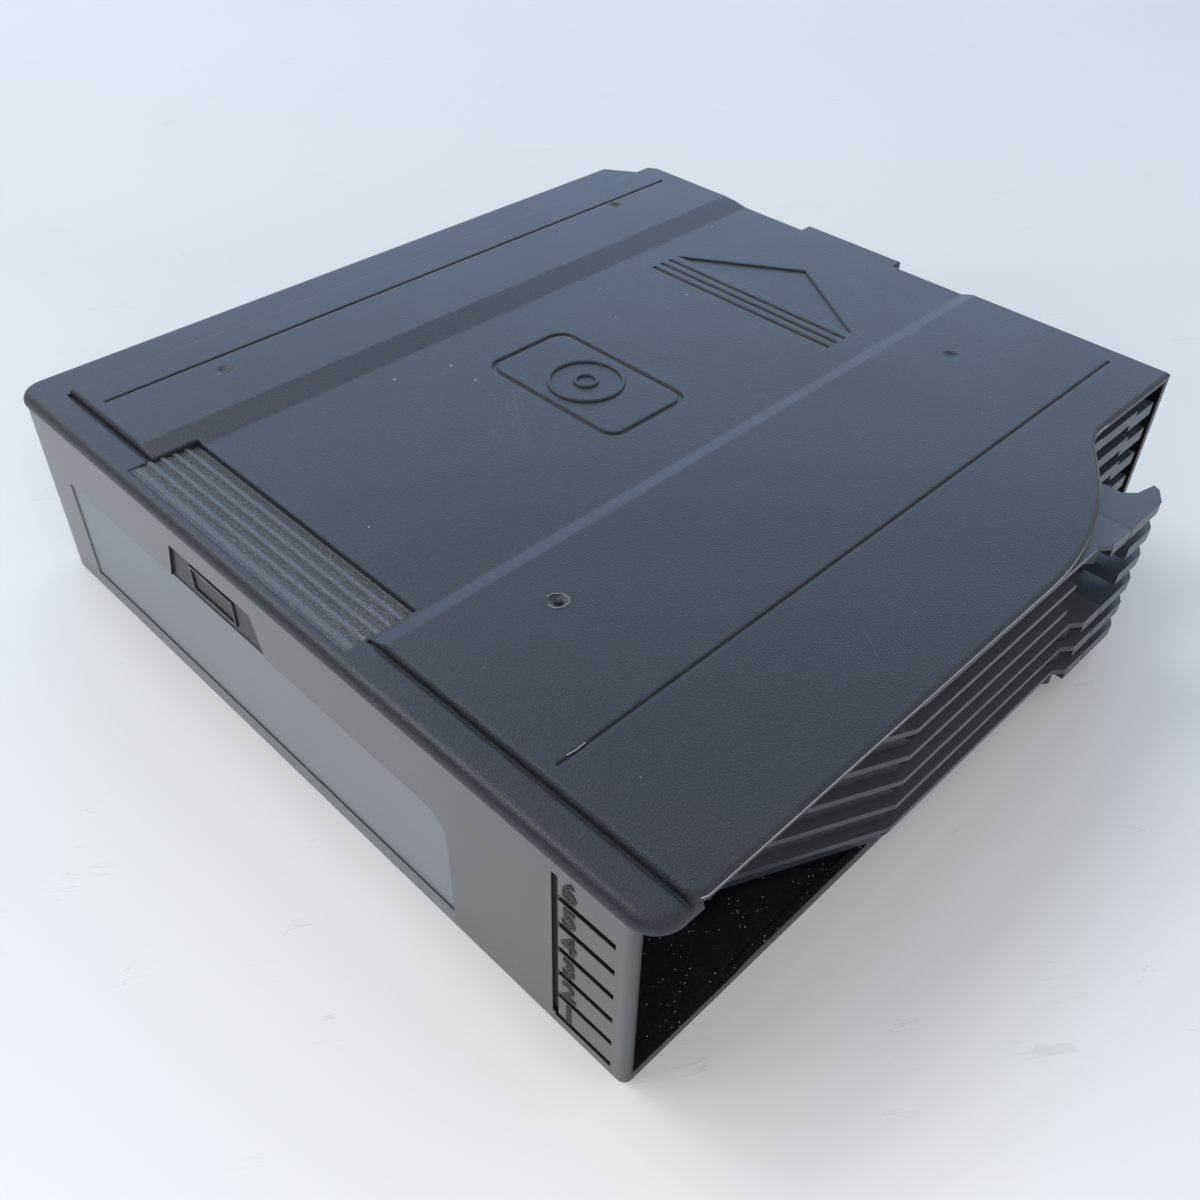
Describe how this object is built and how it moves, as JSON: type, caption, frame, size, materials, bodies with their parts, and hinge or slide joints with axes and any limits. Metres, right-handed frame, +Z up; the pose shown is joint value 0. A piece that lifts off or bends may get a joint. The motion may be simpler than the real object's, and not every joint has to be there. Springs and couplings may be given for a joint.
{
  "type": "car disc changer magazine",
  "caption": "Flat disc magazine for a car disc changer: a keyed plastic case, open along one side, with a stack of disc trays that slide out of it.",
  "frame": {"origin": "centre of the bounding box in plan, on the underside of the case", "axes": "+Z up out of the marked cover, +Y the way the magazine goes into the player, +X out of the open side that the trays slide out of"},
  "size_m": [0.1334, 0.135, 0.0335],
  "materials": {
    "case_plastic": "satin moulded, fine grain",
    "cover_plastic": "fine spark-eroded grain, smoother round lip",
    "grip_plastic": "rough, ribbed",
    "rail_plastic": "smooth",
    "tray_plastic": "satin",
    "hook_plastic": "satin",
    "spring_steel": "rolled strip",
    "screw_steel": "zinc plated"
  },
  "bodies": {
    "case": {"bottom_case": "case_plastic", "top_cover": "cover_plastic", "grip_pad": "grip_plastic", "near_rail": "rail_plastic", "far_rail": "rail_plastic", "near_spring": "spring_steel", "far_spring": "spring_steel", "case_screws": "screw_steel"},
    "disc_tray_1": {"tray_1": "tray_plastic", "tray_hook_1": "hook_plastic"},
    "disc_tray_2": {"tray_2": "tray_plastic", "tray_hook_2": "hook_plastic"},
    "disc_tray_3": {"tray_3": "tray_plastic", "tray_hook_3": "hook_plastic"},
    "disc_tray_4": {"tray_4": "tray_plastic", "tray_hook_4": "hook_plastic"},
    "disc_tray_5": {"tray_5": "tray_plastic", "tray_hook_5": "hook_plastic"},
    "disc_tray_6": {"tray_6": "tray_plastic", "tray_hook_6": "hook_plastic"}
  },
  "joints": [
    {"name": "tray_1_slide", "type": "slide", "parent": "case", "child": "disc_tray_1", "axis": [1, 0, 0], "range_m": [0, 0.092]},
    {"name": "tray_2_slide", "type": "slide", "parent": "case", "child": "disc_tray_2", "axis": [1, 0, 0], "range_m": [0, 0.092]},
    {"name": "tray_3_slide", "type": "slide", "parent": "case", "child": "disc_tray_3", "axis": [1, 0, 0], "range_m": [0, 0.092]},
    {"name": "tray_4_slide", "type": "slide", "parent": "case", "child": "disc_tray_4", "axis": [1, 0, 0], "range_m": [0, 0.092]},
    {"name": "tray_5_slide", "type": "slide", "parent": "case", "child": "disc_tray_5", "axis": [1, 0, 0], "range_m": [0, 0.092]},
    {"name": "tray_6_slide", "type": "slide", "parent": "case", "child": "disc_tray_6", "axis": [1, 0, 0], "range_m": [0, 0.092]}
  ]
}
